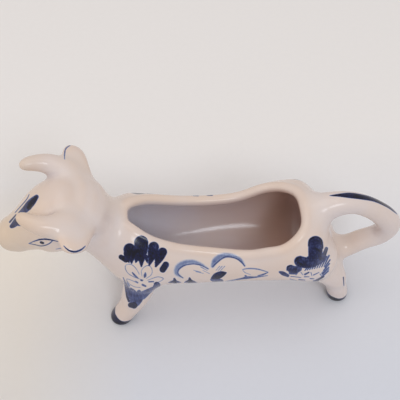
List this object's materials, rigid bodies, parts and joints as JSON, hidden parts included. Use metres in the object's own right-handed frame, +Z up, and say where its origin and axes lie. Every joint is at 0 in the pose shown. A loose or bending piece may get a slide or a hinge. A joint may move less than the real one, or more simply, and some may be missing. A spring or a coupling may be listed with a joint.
{
  "type": "cow creamer",
  "caption": "Standing cow creamer of glazed earthenware: cream is held in the open back, poured from the mouth and carried by the tail loop",
  "frame": {"origin": "middle of the bounding box on the table plane, z = 0 at the soles of the hooves", "axes": "+X runs from the muzzle to the tail, +Y to the cow's right side, +Z up"},
  "size_m": [0.1948, 0.0572, 0.1024],
  "materials": {
    "glazed_earthenware": "clear gloss glaze over a white slip with blue painting under the glaze"
  },
  "bodies": {
    "root": {"body_shell": "glazed_earthenware", "head": "glazed_earthenware", "left_horn": "glazed_earthenware", "right_horn": "glazed_earthenware", "left_ear": "glazed_earthenware", "right_ear": "glazed_earthenware", "front_left_leg": "glazed_earthenware", "front_right_leg": "glazed_earthenware", "rear_left_leg": "glazed_earthenware", "rear_right_leg": "glazed_earthenware", "tail_handle": "glazed_earthenware"}
  },
  "joints": []
}
